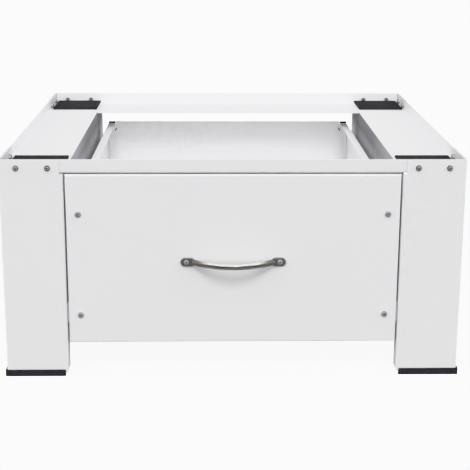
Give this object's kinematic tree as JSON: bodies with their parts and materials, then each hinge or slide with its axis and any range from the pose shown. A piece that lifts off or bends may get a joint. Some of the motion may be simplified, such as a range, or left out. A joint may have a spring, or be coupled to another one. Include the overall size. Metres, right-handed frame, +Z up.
{
  "type": "washing machine pedestal",
  "caption": "White steel pedestal for a washing machine, on four folded corner posts, with one roller-runner drawer, a bow handle and raised rims round the rubber pads.",
  "frame": {"origin": "on the floor, under the middle of the whole pedestal's box (13 mm in front of the middle of the four posts, because the handle stands out)", "axes": "+X right, +Y to the back, +Z up; the drawer opens towards -Y"},
  "size_m": [0.635, 0.571, 0.31],
  "materials": {
    "white_paint": "white powder coat, satin",
    "runner_paint": "off-white enamel",
    "zinc_steel": "bright zinc plating",
    "nickel": "brushed nickel",
    "cap_plastic": "matt black",
    "pad_rubber": "matt black, ribbed",
    "nylon": "natural white nylon"
  },
  "bodies": {
    "frame": {"front_left_post": "white_paint", "front_left_foot_cap": "cap_plastic", "front_left_pad": "pad_rubber", "front_left_screw_1": "zinc_steel", "front_left_screw_2": "zinc_steel", "front_left_screw_3": "zinc_steel", "front_left_screw_4": "zinc_steel", "front_right_post": "white_paint", "front_right_foot_cap": "cap_plastic", "front_right_pad": "pad_rubber", "front_right_screw_1": "zinc_steel", "front_right_screw_2": "zinc_steel", "front_right_screw_3": "zinc_steel", "front_right_screw_4": "zinc_steel", "rear_left_post": "white_paint", "rear_left_foot_cap": "cap_plastic", "rear_left_pad": "pad_rubber", "rear_left_screw_1": "zinc_steel", "rear_left_screw_2": "zinc_steel", "rear_left_screw_3": "zinc_steel", "rear_left_screw_4": "zinc_steel", "rear_right_post": "white_paint", "rear_right_foot_cap": "cap_plastic", "rear_right_pad": "pad_rubber", "rear_right_screw_1": "zinc_steel", "rear_right_screw_2": "zinc_steel", "rear_right_screw_3": "zinc_steel", "rear_right_screw_4": "zinc_steel", "front_rail": "white_paint", "rear_rail": "white_paint", "left_shelf": "white_paint", "left_channel": "runner_paint", "left_channel_pin": "zinc_steel", "left_front_runner_screw": "zinc_steel", "left_rear_runner_screw": "zinc_steel", "right_shelf": "white_paint", "right_channel": "runner_paint", "right_channel_pin": "zinc_steel", "right_front_runner_screw": "zinc_steel", "right_rear_runner_screw": "zinc_steel"},
    "drawer": {"drawer_front": "white_paint", "drawer_back": "white_paint", "drawer_bottom": "white_paint", "bow_handle": "nickel", "left_drawer_side": "white_paint", "left_drawer_runner": "runner_paint", "left_drawer_pin": "zinc_steel", "left_lower_front_screw": "zinc_steel", "left_upper_front_screw": "zinc_steel", "left_handle_screw": "zinc_steel", "right_drawer_side": "white_paint", "right_drawer_runner": "runner_paint", "right_drawer_pin": "zinc_steel", "right_lower_front_screw": "zinc_steel", "right_upper_front_screw": "zinc_steel", "right_handle_screw": "zinc_steel"},
    "left_channel_roller": {"left_channel_roller": "nylon"},
    "left_drawer_roller": {"left_drawer_roller": "nylon"},
    "right_channel_roller": {"right_channel_roller": "nylon"},
    "right_drawer_roller": {"right_drawer_roller": "nylon"}
  },
  "joints": [
    {"name": "drawer_slide", "type": "slide", "parent": "frame", "child": "drawer", "axis": [0, -1, 0], "range_m": [0, 0.36]},
    {"name": "left_channel_roller_spin", "type": "hinge", "parent": "frame", "child": "left_channel_roller", "pos_m": [-0.22385, -0.2285, 0.086], "axis": [1, 0, 0], "range_deg": [-10, 2360]},
    {"name": "left_drawer_roller_spin", "type": "hinge", "parent": "drawer", "child": "left_drawer_roller", "pos_m": [-0.22015, 0.2368, 0.086], "axis": [1, 0, 0], "range_deg": [-10, 2360]},
    {"name": "right_channel_roller_spin", "type": "hinge", "parent": "frame", "child": "right_channel_roller", "pos_m": [0.22385, -0.2285, 0.086], "axis": [1, 0, 0], "range_deg": [-10, 2360]},
    {"name": "right_drawer_roller_spin", "type": "hinge", "parent": "drawer", "child": "right_drawer_roller", "pos_m": [0.22015, 0.2368, 0.086], "axis": [1, 0, 0], "range_deg": [-10, 2360]}
  ],
  "couplings": [
    {"joint": "left_channel_roller_spin", "follows": "drawer_slide", "rad_per_m": 113.64},
    {"joint": "left_drawer_roller_spin", "follows": "drawer_slide", "rad_per_m": 113.64},
    {"joint": "right_channel_roller_spin", "follows": "drawer_slide", "rad_per_m": 113.64},
    {"joint": "right_drawer_roller_spin", "follows": "drawer_slide", "rad_per_m": 113.64}
  ]
}
